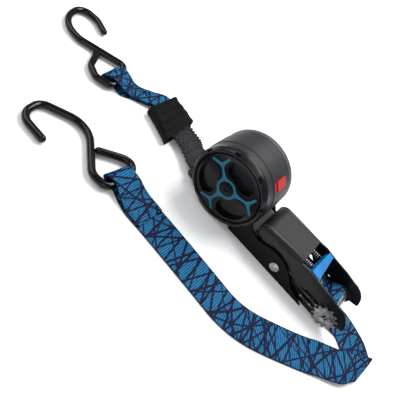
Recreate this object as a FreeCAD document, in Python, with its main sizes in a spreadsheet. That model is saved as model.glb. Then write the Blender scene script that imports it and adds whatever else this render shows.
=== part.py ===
import FreeCAD, Part
import math
import os

import Sketcher

V = FreeCAD.Vector
HERE = FreeCAD.newDocument("ratchet_tie_down")

# Driving dimensions in millimetres. X runs from the reel to the winding spindle, Y along the
# spindle and Z up from the face that the tool stands on. The origin is below the reel's axis.
DIMS = {
    "web_wide": 32.0,
    "web_thick": 1.2,
    "frame_inner": 16.4,
    "plate_thick": 1.5,
    "layer_gap": 0.3,
    "cover_lip": 2.0,
    "fit_gap": 0.08,
    "spindle_x": 140.0,
    "spindle_z": 13.0,
    "spindle_radius": 7.0,
    "slot_half": 0.9,
    "gear_radius": 12.0,
    "gear_teeth": 12,
    "gear_hole": 5.4,
    "pawl_thick": 1.6,
    "pawl_offset": 2.9,
    "rivet_x": 78.8,
    "rivet_z": 10.9,
    "rivet_radius": 3.0,
    "rivet_head": 4.7,
    "frame_top": 14.8,
    "base_thick": 1.5,
    "cam_radius": 19.0,
    "hub_radius": 11.0,
    "drum_z": 38.0,
    "drum_radius": 38.5,
    "drum_wall": 2.5,
    "drum_front": -21.5,
    "drum_back": 17.9,
    "cap_thick": 2.1,
    "ring_front": -29.0,
    "ring_bore": 34.0,
    "dial_radius": 33.5,
    "dial_front": -28.0,
    "flange_radius": 32.5,
    "flange_thick": 1.1,
    "hub_outer": 9.0,
    "axle_radius": 4.0,
    "roll_radius": 29.3,
    "notch_count": 16,
    "button_angle": 43.0,
    "button_wide": 17.5,
    "button_tall": 9.5,
    "button_proud": 1.4,
    "anchor_x": -35.5,
    "anchor_z": 9.0,
    "anchor_radius": 2.2,
    "tread_wide": 30.5,
    "tread_thick": 3.0,
    "rod_radius": 3.6,
    "bar_height": 5.3,
    "spring_wire": 0.45,
    "spring_coil": 2.6,
}

# The hooks' centrelines, seen from above, with the eye's bar on the local Y axis and the hook's
# mouth towards +X. Each corner is (x, y, bend radius).
LONG_HOOK = [(66.5, 30.4, 0), (95.5, 28.0, 14.5), (98.5, 4.5, 11), (57.5, -16.5, 28), (17.5, 20.3, 14),
             (0.0, 19.6, 6), (0.0, -18.5, 8), (12.5, -17.8, 14), (32.0, -2.7, 0)]
SHORT_HOOK = [(37.5, -58.0, 0), (49.5, -70.5, 16), (71.5, -79.5, 11.5), (80.0, -41.0, 31),
              (53.0, -26.0, 16), (0.0, -22.0, 7), (0.0, 17.5, 6), (19.0, 14.8, 8), (28.7, 3.8, 12),
              (30.5, -20.4, 0)]
LONG_BAR = (-67.0, -79.5)
LONG_HEADING = 184.0
LONG_LOOP = ((-12.0, 0.0, 5.6), (13.0, 0.0, 11.0))
SHORT_BAR = (-162.5, 2.0)
SHORT_HEADING = 208.0
SHORT_LOOP = ((11.5, -2.0, 15.0), (-14.5, 0.0, 5.0))

made = {}


def size(name):
    return DIMS[name]


def make_sheet():
    sheet = HERE.addObject("Spreadsheet::Sheet", "dims")
    for row, (alias, value) in enumerate(DIMS.items(), 1):
        sheet.set("A%d" % row, alias)
        sheet.set("B%d" % row, "%g" % value)
        sheet.setAlias("B%d" % row, alias)
    HERE.recompute()


def bind(thing, **expressions):
    """Binds properties to spreadsheet formulas; a double underscore stands for a dot."""
    for name, formula in expressions.items():
        thing.setExpression(name.replace("__", "."), formula)


def keep(thing, label):
    """Marks a finished sub-part, which is written to its own file."""
    thing.Label = label
    made[label] = thing
    return thing


# ---------------------------------------------------------------- primitives and booleans

def cylinder(name, radius, x, y_low, length, z):
    """A cylinder along Y, with every size a spreadsheet formula."""
    rod = HERE.addObject("Part::Cylinder", name)
    rod.Placement = FreeCAD.Placement(V(0, 0, 0), FreeCAD.Rotation(V(1, 0, 0), -90))
    bind(rod, Radius=radius, Height=length, Placement__Base__x=x,
         Placement__Base__y=y_low, Placement__Base__z=z)
    return rod


def box(name, x, y, z, long, wide, tall):
    block = HERE.addObject("Part::Box", name)
    bind(block, Length=long, Width=wide, Height=tall, Placement__Base__x=x,
         Placement__Base__y=y, Placement__Base__z=z)
    return block


def fuse(name, pieces):
    joined = HERE.addObject("Part::MultiFuse", name)
    joined.Shapes = pieces
    joined.Refine = True
    return joined


def cut(name, base, tool):
    result = HERE.addObject("Part::Cut", name)
    result.Base = base
    result.Tool = tool
    result.Refine = True
    return result


def feature(label, shape):
    """A sub-part with a free shape, such as bent wire or webbing."""
    piece = HERE.addObject("Part::Feature", label)
    piece.Shape = shape
    return keep(piece, label)


# ---------------------------------------------------------------- sketched bodies

def origin_plane(body, role):
    return [f for f in body.Origin.OriginFeatures if f.Role == role][0]


def sketch_on(body, name, role, offset="0"):
    sketch = body.newObject("Sketcher::SketchObject", name)
    sketch.AttachmentSupport = [(origin_plane(body, role), "")]
    sketch.MapMode = "FlatFace"
    sketch.setExpression("AttachmentOffset.Base.z", offset)
    return sketch


def draw(sketch, start, *moves):
    """Draws a closed outline: a move is a point for a line, or two points for an arc through them."""
    here = start
    for move in moves + (start,):
        if len(move) == 2 and isinstance(move[0], tuple):
            middle, end = move
            arc = Part.Arc(V(*here, 0), V(*middle, 0), V(*end, 0))
            sketch.addGeometry(arc, False)
        else:
            end = move
            if end != here:
                sketch.addGeometry(Part.LineSegment(V(*here, 0), V(*end, 0)), False)
        here = end


def draw_circle(sketch, x, y, formula, value):
    index = sketch.addGeometry(Part.Circle(V(x, y, 0), V(0, 0, 1), value), False)
    number = sketch.addConstraint(Sketcher.Constraint("Radius", index, value))
    sketch.setExpression("Constraints[%d]" % number, formula)


def pad(body, name, sketch, length, both=False, reverse=False):
    step = body.newObject("PartDesign::Pad", name)
    step.Profile = sketch
    step.setExpression("Length", length)
    step.Midplane = both
    step.Reversed = reverse
    return step


def pocket(body, name, sketch, both=True, length=None):
    step = body.newObject("PartDesign::Pocket", name)
    step.Profile = sketch
    if length is None:
        step.Type = "ThroughAll"
    else:
        step.setExpression("Length", length)
    step.Midplane = both
    return step


def new_body(label):
    return keep(HERE.addObject("PartDesign::Body", label), label)


def side_plate(label, y_high, thick, outline):
    """A flat plate that stands in the XZ plane, from y_high towards -Y."""
    body = new_body(label)
    shape = sketch_on(body, label + "_outline", "XZ_Plane", "-(%s)" % y_high)
    outline(shape)
    pad(body, label + "_pad", shape, thick)
    return body


def turned(label, profile):
    """A body turned about the reel's axis; profile points are (radius, y)."""
    body = new_body(label)
    shape = sketch_on(body, label + "_profile", "XY_Plane", "dims.drum_z")
    draw(shape, *profile)
    turn = body.newObject("PartDesign::Revolution", label + "_turn")
    turn.Profile = shape
    turn.ReferenceAxis = (shape, ["V_Axis"])
    turn.Angle = 360.0
    return body


def polar(body, name, originals, sketch, count):
    pattern = body.newObject("PartDesign::PolarPattern", name)
    pattern.Originals = originals
    pattern.Axis = (sketch, ["N_Axis"])
    pattern.Angle = 360.0
    pattern.setExpression("Occurrences", count)
    body.Tip = pattern
    return pattern


def on_circle(radius, degrees, x=0.0, z=0.0):
    angle = math.radians(degrees)
    return (x + radius * math.cos(angle), z + radius * math.sin(angle))


# ---------------------------------------------------------------- ratchet frame

def ratchet_frame():
    """Steel channel: a floor and two cheeks, with the spindle's bearings and the pawl's slots."""
    body = new_body("ratchet_frame")
    nose = size("spindle_radius") + 3.0
    sx, sz = size("spindle_x"), size("spindle_z")
    top = size("frame_top")
    meet = sx - math.sqrt(nose ** 2 - (top - sz) ** 2)
    side = sketch_on(body, "frame_outline", "XZ_Plane")
    draw(side, (48.0, 0.0), (sx, 0.0), (sx, sz - nose),
         (on_circle(nose, 20, sx, sz), (meet, top)), (52.0, top), (48.0, top - 4.0))
    pad(body, "frame_pad", side, "2 * (dims.frame_inner + dims.plate_thick)", both=True)
    inside = sketch_on(body, "frame_channel", "YZ_Plane")
    half = size("frame_inner")
    draw(inside, (-half, size("base_thick")), (half, size("base_thick")), (half, 60.0), (-half, 60.0))
    pocket(body, "frame_channel_cut", inside)
    mouth = sketch_on(body, "frame_mouth", "XY_Plane")
    draw(mouth, (118.0, -half), (170.0, -half), (170.0, half), (118.0, half))
    pocket(body, "frame_mouth_cut", mouth)
    holes = sketch_on(body, "frame_holes", "XZ_Plane")
    draw_circle(holes, sx, sz, "dims.spindle_radius + dims.fit_gap", size("spindle_radius") + size("fit_gap"))
    draw_circle(holes, size("rivet_x"), size("rivet_z"), "dims.rivet_radius", size("rivet_radius"))
    low = sz - size("pawl_offset") - size("pawl_thick") / 2 - 0.2
    high = low + size("pawl_thick") + 0.4
    draw(holes, (106.5, low), (125.5, low), (125.5, high), (106.5, high))
    body.Tip = pocket(body, "frame_holes_cut", holes)


def cover_outline(sketch):
    """The cover's top edge falls away in a wave towards the spindle."""
    draw(sketch, (24.0, 0.0), (120.0, 0.0), (114.0, 3.0), ((106.0, 6.0), (99.0, 9.0)),
         ((91.5, 17.0), (80.5, 22.3)), ((70.5, 23.4), (61.5, 21.4)), ((52.5, 18.2), (42.5, 20.8)),
         (38.0, 25.5), (24.0, 25.5))


def cover_inner_outline(sketch):
    draw(sketch, (48.6, 0.0), (112.0, 0.0), (100.0, 7.0), (90.0, 14.0), (84.0, 16.6), (48.6, 16.6))


def side_cover(label, sign):
    """Moulded cover: a thin waved lip outside the handle plate and a thick foot below it."""
    body = new_body(label)
    inner = "(dims.frame_inner + dims.plate_thick)"
    lip = "(dims.frame_inner + 2 * dims.plate_thick + 2 * dims.layer_gap)"
    outer = "(%s + dims.cover_lip)" % lip
    foot = "(%s - %s)" % (outer, inner)
    lip_base = outer if sign > 0 else "-" + lip
    foot_base = outer if sign > 0 else "-" + inner
    first = sketch_on(body, label + "_lip", "XZ_Plane", "-(%s)" % lip_base)
    cover_outline(first)
    pad(body, label + "_lip_pad", first, "dims.cover_lip")
    second = sketch_on(body, label + "_foot", "XZ_Plane", "-(%s)" % foot_base)
    cover_inner_outline(second)
    pad(body, label + "_foot_pad", second, foot)
    hole = sketch_on(body, label + "_hole", "XZ_Plane")
    draw_circle(hole, size("rivet_x"), size("rivet_z"), "dims.rivet_radius", size("rivet_radius"))
    draw_circle(hole, 0, size("drum_z"), "dims.drum_radius + dims.layer_gap", size("drum_radius") + 0.3)
    body.Tip = pocket(body, label + "_hole_cut", hole)


def frame_rivet():
    shank = cylinder("rivet_shank", "dims.rivet_radius", "dims.rivet_x", "-22.3", "44.6", "dims.rivet_z")
    reach = "(dims.frame_inner + 2 * dims.plate_thick + 2 * dims.layer_gap + dims.cover_lip)"
    near = cylinder("rivet_head_near", "dims.rivet_head", "dims.rivet_x", "-%s - 1.2" % reach, "1.2", "dims.rivet_z")
    far = cylinder("rivet_head_far", "dims.rivet_head", "dims.rivet_x", reach, "1.2", "dims.rivet_z")
    keep(fuse("frame_rivet_solid", [shank, near, far]), "frame_rivet")
    bush = cylinder("bush", "dims.rivet_radius + 0.5", "dims.rivet_x", "-dims.frame_inner + 0.2",
                    "2 * dims.frame_inner - 0.4", "dims.rivet_z")
    bore = cylinder("bush_bore", "dims.rivet_radius", "dims.rivet_x", "-30", "60", "dims.rivet_z")
    keep(cut("rivet_sleeve_solid", bush, bore), "rivet_sleeve")


# ---------------------------------------------------------------- winding mechanism

def spindle_half(label, sign):
    """Half-round bar with a tenon at each end that the gear is staked on."""
    gear_low = "dims.frame_inner + 2 * dims.plate_thick + 2 * dims.layer_gap"
    length = "(%s) - 0.1" % gear_low
    bar = cylinder(label + "_bar", "dims.spindle_radius", "dims.spindle_x", "-(%s)" % length,
                   "2 * (%s)" % length, "dims.spindle_z")
    keep_side = "dims.spindle_x + dims.slot_half" if sign > 0 else "dims.spindle_x - 20 - dims.slot_half"
    block = box(label + "_half", keep_side, "-40", "dims.spindle_z - 20", "20", "80", "40")
    half = HERE.addObject("Part::Common", label + "_common")
    half.Base, half.Tool = bar, block
    tenon_x = "dims.spindle_x + 3.6" if sign > 0 else "dims.spindle_x - 5.4"
    tenon = box(label + "_tenon", tenon_x, "-(%s) - dims.cover_lip" % gear_low, "dims.spindle_z - 2.6",
                "1.8", "2 * (%s + dims.cover_lip)" % gear_low, "5.2")
    keep(fuse(label + "_solid", [half, tenon]), label)


def ratchet_gear(label, y_high):
    """Saw-toothed wheel with a square centre hole and two slots for the spindle's tenons."""
    body = new_body(label)
    disc = sketch_on(body, label + "_disc", "XZ_Plane", "-(%s)" % y_high)
    disc.AttachmentOffset.Base = V(size("spindle_x"), size("spindle_z"), 0)
    disc.setExpression("AttachmentOffset.Base.x", "dims.spindle_x")
    disc.setExpression("AttachmentOffset.Base.y", "dims.spindle_z")
    draw_circle(disc, 0, 0, "dims.gear_radius", size("gear_radius"))
    half = size("gear_hole") / 2
    draw(disc, (-half, -half), (half, -half), (half, half), (-half, half))
    for x in (-5.5, 3.5):
        draw(disc, (x, -2.7), (x + 2.0, -2.7), (x + 2.0, 2.7), (x, 2.7))
    pad(body, label + "_pad", disc, "dims.cover_lip")
    gap = sketch_on(body, label + "_gap", "XZ_Plane", "-(%s)" % y_high)
    gap.setExpression("AttachmentOffset.Base.x", "dims.spindle_x")
    gap.setExpression("AttachmentOffset.Base.y", "dims.spindle_z")
    pitch = 360.0 / size("gear_teeth")
    centre = 180.0 - pitch / 2
    tip, root = size("gear_radius") + 1.0, 9.8
    draw(gap, on_circle(root, centre - 6.5), on_circle(tip, centre - 8.5), on_circle(tip, centre + 14),
         on_circle(root, centre + 7))
    teeth = pocket(body, label + "_gap_cut", gap, both=True)
    polar(body, label + "_teeth", [teeth], gap, "dims.gear_teeth")


def lock_pawl():
    """Plate in the cheeks' slots; its four corners run outboard to the gears."""
    z = "dims.spindle_z - dims.pawl_offset - dims.pawl_thick / 2"
    inner = "(dims.frame_inner + dims.plate_thick + dims.plate_thick + 2 * dims.layer_gap)"
    outer = "(%s + dims.cover_lip - 0.1)" % inner
    bar = box("lock_bar", "112", "-" + outer, z, "9", "2 * %s" % outer, "dims.pawl_thick")
    body = box("lock_body", "110.5", "-dims.frame_inner + 0.3", z, "12", "2 * (dims.frame_inner - 0.3)",
               "dims.pawl_thick")
    ears = []
    for name, y in (("near", "-" + outer), ("far", inner)):
        ears.append(box("lock_ear_" + name, "112", y, z, "15.9", "dims.cover_lip - 0.1", "dims.pawl_thick"))
    keep(fuse("lock_pawl_solid", [bar, body] + ears), "lock_pawl")


def drive_pawl():
    """Plate in the handle plates' slots, with a leg that carries the trigger."""
    z = "dims.spindle_z + dims.pawl_offset - dims.pawl_thick / 2"
    inner = "(dims.frame_inner + 2 * dims.plate_thick + 2 * dims.layer_gap)"
    outer = "(%s + dims.cover_lip - 0.1)" % inner
    plate = box("drive_plate", "104", "-17.8", z, "16", "35.6", "dims.pawl_thick")
    bar = box("drive_bar", "112", "-" + outer, z, "8", "2 * %s" % outer, "dims.pawl_thick")
    ears = []
    for name, y in (("near", "-" + outer), ("far", inner)):
        ears.append(box("drive_ear_" + name, "112", y, z, "15.9", "dims.cover_lip - 0.1", "dims.pawl_thick"))
    leg = box("drive_leg", "104", "-13", z, "1.6", "26", "17")
    keep(fuse("drive_pawl_solid", [plate, bar, leg] + ears), "drive_pawl")


def release_trigger():
    """Tapered finger bar, wider at its near end, moulded over the drive pawl's leg."""
    ends = []
    for y, x0, x1, z0, z1 in ((-16.8, 100.5, 112.8, 27.5, 36.2), (16.8, 102.6, 110.6, 29.0, 37.0)):
        corners = [V(x0, y, z0), V(x1, y, z0 + 0.8), V(x1 - 1.0, y, z1 - 1.2), V(x0 + 1.6, y, z1)]
        ends.append(Part.makePolygon(corners + corners[:1]))
    bar = Part.makeLoft(ends, True, True)
    slot = Part.makeBox(1.7, 26.2, 8.0, V(103.95, -13.1, 25.0))
    feature("release_trigger", bar.cut(slot))


def coil(radius, wire, length, turns, place, axis):
    """A wire spring of the given length, from place along axis."""
    helix = Part.makeHelix((length - 2 * wire) / turns, length - 2 * wire, radius)
    start = Part.Wire(Part.makeCircle(wire, V(radius, 0, 0), V(0, 1, 0)))
    spring = Part.Wire(helix.Edges).makePipeShell([start], True, True)
    spring.translate(V(0, 0, wire))
    spring.Placement = FreeCAD.Placement(place, FreeCAD.Rotation(V(0, 0, 1), axis)).multiply(spring.Placement)
    return spring


def spring_pair(label, x_low, length, z, y_side, turns, radius):
    wire = size("spring_wire")
    springs = [coil(radius, wire, length, turns, V(x_low, y, z), V(1, 0, 0)) for y in (-y_side, y_side)]
    feature(label, Part.makeCompound(springs))


def lock_parts():
    seat = box("seat_plate", "96", "-dims.frame_inner + 0.05", "dims.base_thick", "1.5",
               "2 * dims.frame_inner - 0.1", "10.8")
    keep(seat, "lock_spring_seat")
    spring_pair("lock_pawl_springs", 97.6, 12.8, size("spindle_z") - size("pawl_offset"), 8.0, 7, 1.7)


# ---------------------------------------------------------------- handle

def handle_outline(sketch):
    """Cam nose round the spindle, a straight arm and a raised end that the grip covers."""
    sx, sz = size("spindle_x"), size("spindle_z")
    cam, hub = size("cam_radius"), size("hub_radius")
    draw(sketch, on_circle(hub, -60, sx, sz), (on_circle(hub, -30, sx, sz), on_circle(hub, 0, sx, sz)),
         on_circle(cam, 6, sx, sz), (on_circle(cam, 50, sx, sz), on_circle(cam, 92, sx, sz)),
         (128.0, 34.0), (112.0, 35.0), (100.0, 36.8), (91.6, 35.8), (91.0, 34.0), (56.0, 30.9),
         ((48.8, 29.0), (45.6, 26.0)), (47.0, 22.5), (60.0, 19.6), (97.0, 17.8), (103.5, 12.6), (126.0, 12.0),
         (on_circle(hub, 210, sx, sz)), (on_circle(hub, 250, sx, sz), on_circle(hub, -60, sx, sz)))


def handle_plate(label, y_high):
    body = side_plate(label, y_high, "dims.plate_thick", handle_outline)
    holes = sketch_on(body, label + "_holes", "XZ_Plane")
    sx, sz = size("spindle_x"), size("spindle_z")
    draw_circle(holes, sx, sz, "dims.spindle_radius + dims.fit_gap", size("spindle_radius") + size("fit_gap"))
    draw_circle(holes, 70.0, 28.0, "2.5", 2.5)
    low = sz + size("pawl_offset") - size("pawl_thick") / 2 - 0.2
    high = low + size("pawl_thick") + 0.4
    draw(holes, (107.4, low), (122.6, low), (122.6, high), (107.4, high))
    body.Tip = pocket(body, label + "_holes_cut", holes)


def handle_grip():
    """Moulded cap over the plates' ends: rounded at the reel's end and along its sides."""
    body = new_body("handle_grip")
    side = sketch_on(body, "grip_side", "XZ_Plane")
    draw(side, (43.6, 26.0), (43.6, 29.0), ((47.0, 33.7), (56.0, 36.4)), (91.0, 38.8), (91.0, 34.3),
         (56.0, 31.2), ((48.6, 29.4), (45.3, 26.0)))
    pad(body, "grip_pad", side, "2 * (dims.frame_inner + 2 * dims.plate_thick + dims.layer_gap + 0.9)",
        both=True)
    corners = sketch_on(body, "grip_corners", "YZ_Plane")
    wide, top, soft = size("frame_inner") + 2 * size("plate_thick") + size("layer_gap") + 0.9, 37.8, 5.0
    for side in (1, -1):
        draw(corners, (side * (wide - soft), top + 6.0), (side * (wide - soft), top + 0.6),
             ((side * (wide - 0.30 * soft), top - 0.30 * soft), (side * wide, top - soft)),
             (side * (wide + 6.0), top - soft), (side * (wide + 6.0), top + 6.0))
    body.Tip = pocket(body, "grip_corners_cut", corners)


def handle_parts():
    outer = "(dims.frame_inner + dims.plate_thick + dims.layer_gap + dims.plate_thick)"
    handle_plate("handle_plate_near", "-(dims.frame_inner + dims.plate_thick + dims.layer_gap)")
    handle_plate("handle_plate_far", outer)
    handle_grip()
    pin = cylinder("cross_pin", "2.5", "70", "-%s - 0.2" % outer, "2 * %s + 0.4" % outer, "28")
    keep(pin, "handle_cross_pin")
    seat = box("spring_wall", "87.2", "-18.1", "26.8", "1.4", "36.2", "6.9")
    keep(seat, "pawl_spring_seat")
    spring_pair("drive_pawl_springs", 88.7, 11.7, 30.4, 8.0, 6, size("spring_coil"))


# ---------------------------------------------------------------- webbing reel

def ear(name, y_low, wide):
    """A lug that stands out behind the reel and holds one end of the anchor pin."""
    arm = box("ear_arm_" + name, "dims.anchor_x", y_low, "dims.anchor_z - 4.8", "18", wide, "9.6")
    end = cylinder("ear_end_" + name, "4.8", "dims.anchor_x", y_low, wide, "dims.anchor_z")
    return fuse("ear_" + name, [arm, end])


def drum_body():
    """Case of the reel, with a flat foot, a webbing mouth, a button window and two rear ears."""
    radius, z = size("drum_radius"), size("drum_z")
    shell = cylinder("drum_shell", "dims.drum_radius", "0", "dims.drum_front", "dims.drum_back - dims.drum_front",
                     "dims.drum_z")
    band = cylinder("drum_band", "dims.drum_radius + 0.5", "0", "dims.drum_front + 8", "19", "dims.drum_z")
    ears = [ear("near", "-17.6", "3"), ear("far", "18.2", "dims.drum_back + dims.cap_thick - 18.2")]
    tail = box("drum_tail", "14", "-20", "0", "33.8", "20 + dims.drum_back", "21")
    outer = fuse("drum_outer", [shell, band, tail, ears[0]])
    hollow = cylinder("drum_hollow", "dims.drum_radius - dims.drum_wall", "0", "dims.drum_front + 1.9",
                      "60", "dims.drum_z")
    hub_hole = cylinder("drum_hub_hole", "13", "0", "-40", "40", "dims.drum_z")
    mouth = box("drum_mouth", "8", "-dims.web_wide / 2 - 0.4", "7", "60", "dims.web_wide + 0.8", "12")
    foot = box("drum_foot", "-60", "-40", "-10", "120", "80", "10")
    pin_hole = cylinder("drum_pin_hole", "dims.anchor_radius", "dims.anchor_x", "-40", "80", "dims.anchor_z")
    window = HERE.addObject("Part::Box", "drum_window")
    turn = FreeCAD.Rotation(V(0, 1, 0), -size("button_angle"))
    bind(window, Length="10", Width="dims.button_wide + 0.6", Height="dims.button_tall + 0.6")
    across = size("button_tall") / 2 + 0.3
    corner = V(0, -3 - size("button_wide") / 2 - 0.3, z) + turn.multVec(V(radius - 6, 0, -across))
    window.Placement = FreeCAD.Placement(corner, turn)
    tools = fuse("drum_tools", [hollow, hub_hole, mouth, foot, pin_hole, window])
    keep(cut("drum_body_solid", outer, tools), "drum_body")
    far_ear = fuse("drum_cap_raw", [
        cylinder("cap_disc", "dims.drum_radius", "0", "dims.drum_back", "dims.cap_thick", "dims.drum_z"), ears[1],
        cylinder("cap_boss", "dims.axle_radius + 2.5", "0", "dims.drum_back - 0.3", "1", "dims.drum_z")])
    axle_hole = cylinder("cap_hole", "dims.axle_radius", "0", "0", "19", "dims.drum_z")
    trim = fuse("cap_tools", [axle_hole, box("cap_foot", "-60", "-40", "-10", "120", "80", "10"),
                              cylinder("cap_pin_hole", "dims.anchor_radius", "dims.anchor_x", "-40", "80",
                                       "dims.anchor_z")])
    keep(cut("drum_cap_solid", far_ear, trim), "drum_rear_cap")


def drum_front_ring():
    """Bezel with a tapered rim and eight notches."""
    radius, front, back = size("drum_radius"), size("ring_front"), size("drum_front")
    bore = size("ring_bore")
    body = turned("drum_front_ring", [(bore, back), (radius, back), (radius, back - 2.5), (radius - 0.7, back - 4.5),
                                      (radius - 1.6, front + 0.8), (radius - 2.6, front), (bore + 0.8, front),
                                      (bore, front + 0.8)])
    notch = sketch_on(body, "ring_notch", "XZ_Plane", "-(dims.ring_front + 3)")
    notch.setExpression("AttachmentOffset.Base.y", "dims.drum_z")
    centre = 64.0
    draw(notch, on_circle(35.8, centre - 4), on_circle(40.0, centre - 5), on_circle(40.0, centre + 5),
         on_circle(35.8, centre + 4))
    step = pocket(body, "ring_notch_cut", notch, both=False, length="10")
    step.Reversed = True
    polar(body, "ring_notches", [step], notch, "8")
    foot = sketch_on(body, "ring_foot", "XZ_Plane")
    draw(foot, (-30.0, -5.0), (30.0, -5.0), (30.0, 0.0), (-30.0, 0.0))
    body.Tip = pocket(body, "ring_foot_cut", foot)


def case_screws():
    screws = []
    for degrees in (45, 135, 225, 315):
        x, z = on_circle(30.0, degrees, 0.0, size("drum_z"))
        head = Part.makeCylinder(2.4, 0.8, V(x, size("drum_back") + size("cap_thick"), z), V(0, 1, 0))
        recess = Part.makeCylinder(1.0, 0.6, V(x, size("drum_back") + size("cap_thick") + 0.3, z), V(0, 1, 0))
        screws.append(head.cut(recess))
    feature("case_screws", Part.makeCompound(screws))


def spool():
    """Hub and two flanges; the far flange has notches that the latch tooth drops into."""
    thick, rim = size("flange_thick"), size("flange_radius")
    half = size("web_wide") / 2 + 0.3
    inner = size("axle_radius") + size("fit_gap")
    body = turned("spool", [(inner, -half - thick), (rim, -half - thick), (rim, -half), (size("hub_outer"), -half),
                            (size("hub_outer"), half), (rim, half), (rim, half + thick), (inner, half + thick)])
    notch = sketch_on(body, "spool_notch", "XZ_Plane", "-(dims.web_wide / 2 + 1)")
    notch.setExpression("AttachmentOffset.Base.y", "dims.drum_z")
    centre = size("button_angle")
    draw(notch, on_circle(29.8, centre - 4), on_circle(34.0, centre - 4), on_circle(34.0, centre + 4),
         on_circle(29.8, centre + 4))
    step = pocket(body, "spool_notch_cut", notch, both=True, length="3")
    polar(body, "spool_notches", [step], notch, "dims.notch_count")


def winder_dial():
    """Dished hand dial: a rim, three finger hollows and a shaft to the spool's near flange."""
    radius, front, back = size("dial_radius"), size("dial_front"), size("drum_front")
    flange = -size("web_wide") / 2 - 0.3 - size("flange_thick")
    bore = size("axle_radius") + size("fit_gap")
    body = turned("winder_dial", [(bore, flange), (12.5, flange), (12.5, back - 0.3), (radius, back - 0.3),
                                  (radius, front + 1.2), (radius - 1.0, front), (3.2, front), (3.2, front + 2.0),
                                  (bore, front + 2.0)])
    hollow = sketch_on(body, "dial_hollow", "XZ_Plane", "-(dims.dial_front + 4.4)")
    hollow.setExpression("AttachmentOffset.Base.y", "dims.drum_z")
    centre = 77.5
    draw(hollow, on_circle(12.5, centre - 30), (on_circle(12.0, centre), on_circle(12.5, centre + 30)),
         (on_circle(20.0, centre + 44), on_circle(28.0, centre + 36)),
         (on_circle(30.3, centre), on_circle(28.0, centre - 36)),
         (on_circle(20.0, centre - 44), on_circle(12.5, centre - 30)))
    step = pocket(body, "dial_hollow_cut", hollow, both=False, length="12")
    step.Reversed = True
    polar(body, "dial_hollows", [step], hollow, "3")


def dial_inlay():
    """Flat ring with three spokes, each ending in a fork."""
    y, thick = size("dial_front") - 0.6, 0.6
    z = size("drum_z")
    ring = Part.makeCylinder(10.0, thick, V(0, y, z), V(0, 1, 0))
    half = [(8.8, 4.2), (10.6, 2.7), (13.0, 1.6), (17.0, 1.05), (20.5, 1.25), (22.6, 2.3), (24.6, 4.6),
            (27.0, 8.3), (27.9, 9.3), (29.6, 8.6), (28.6, 6.6), (26.6, 3.4), (25.6, 1.2)]
    outline = half + [(x, -side) for x, side in reversed(half)]
    arms = []
    for degrees in (15.5, 135.5, 255.5):
        arm = Part.Face(Part.makePolygon([V(x, 0, side) for x, side in outline + outline[:1]]))
        arm = arm.extrude(V(0, thick, 0))
        arm.rotate(V(0, 0, 0), V(0, 1, 0), -degrees)
        arm.translate(V(0, y, z))
        arms.append(arm)
    star = ring.multiFuse(arms).removeSplitter()
    star = star.common(Part.makeCylinder(32.2, thick, V(0, y, z), V(0, 1, 0)))
    feature("dial_inlay", star.cut(Part.makeCylinder(7.6, thick, V(0, y, z), V(0, 1, 0))))


def reel_parts():
    axle = cylinder("axle", "dims.axle_radius", "0", "dims.dial_front + 2.4",
                    "dims.drum_back + 1 - dims.dial_front - 2.4", "dims.drum_z")
    keep(axle, "spool_axle")
    screw = cylinder("screw", "3.0", "0", "dims.dial_front + 0.7", "1.2", "dims.drum_z")
    keep(screw, "dial_screw")
    roll = cylinder("roll", "dims.roll_radius", "0", "-dims.web_wide / 2", "dims.web_wide", "dims.drum_z")
    core = cylinder("roll_core", "dims.hub_outer + 0.05", "0", "-30", "60", "dims.drum_z")
    keep(cut("roll_solid", roll, core), "webbing_roll")


def radial_box(label, radius_low, radius_high, y_low, y_high, across):
    """A block that stands on the reel's rim at the button's angle."""
    block = Part.makeBox(radius_high - radius_low, y_high - y_low, across, V(radius_low, y_low, -across / 2))
    block.rotate(V(0, 0, 0), V(0, 1, 0), -size("button_angle"))
    block.translate(V(0, 0, size("drum_z")))
    return block


def reel_button():
    wide, tall = size("button_wide"), size("button_tall")
    outer = size("drum_radius") + size("button_proud")
    cap = radial_box("cap", 35.4, outer, -3 - wide / 2, -3 + wide / 2, tall)
    bevel = radial_box("bevel", outer - 0.9, outer + 2, -3 - wide / 2 - 1, -3 - wide / 2 + 3.5, tall + 2)
    flange = radial_box("flange", 34.7, 35.4, -3 - wide / 2 - 0.8, -3 + wide / 2 + 0.8, tall)
    feature("reel_button", cap.cut(bevel).fuse(flange).removeSplitter())
    half = size("web_wide") / 2 + 0.3
    arm = radial_box("arm", 33.2, 34.6, -3 - wide / 2, half - 0.5, 2.8)
    tooth = radial_box("tooth", 32.9, 34.6, half - 0.5, half + size("flange_thick"), 2.8)
    feature("reel_latch", arm.fuse(tooth).removeSplitter())
    spring = coil(1.6, 0.35, 2.2, 3, V(0, 0, 0), V(0, 0, 1))
    spring.rotate(V(0, 0, 0), V(0, 1, 0), 90 - size("button_angle"))
    angle = math.radians(size("button_angle"))
    spring.translate(V(30.9 * math.cos(angle), -8, size("drum_z") + 30.9 * math.sin(angle)))
    feature("button_spring", spring)


# ---------------------------------------------------------------- webbing

def ribbon(stations, thick):
    """A webbing solid between rows of edge points: each station is (one edge, other edge)."""
    rows = [(V(*a), V(*b)) for a, b in stations]
    rings = []
    for i, (left, right) in enumerate(rows):
        before, after = rows[max(i - 1, 0)], rows[min(i + 1, len(rows) - 1)]
        along = (after[0] + after[1]) - (before[0] + before[1])
        up = along.cross(right - left)
        up.normalize()
        up = up * (thick / 2)
        ring = [left + up, right + up, right - up, left - up]
        rings.append(Part.makePolygon(ring + ring[:1]))
    return Part.makeLoft(rings, True, True)


def across(x, y, z, heading, wide):
    """The two edge points of webbing that is centred at (x, y, z) and runs along heading."""
    angle = math.radians(heading)
    dx, dy = math.sin(angle) * wide / 2, -math.cos(angle) * wide / 2
    return ((x - dx, y - dy, z), (x + dx, y + dy, z))


def channel_webbing(points):
    half = size("web_wide") / 2
    return ribbon([((x, half, z), (x, -half, z)) for x, z in points], size("web_thick"))


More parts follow.
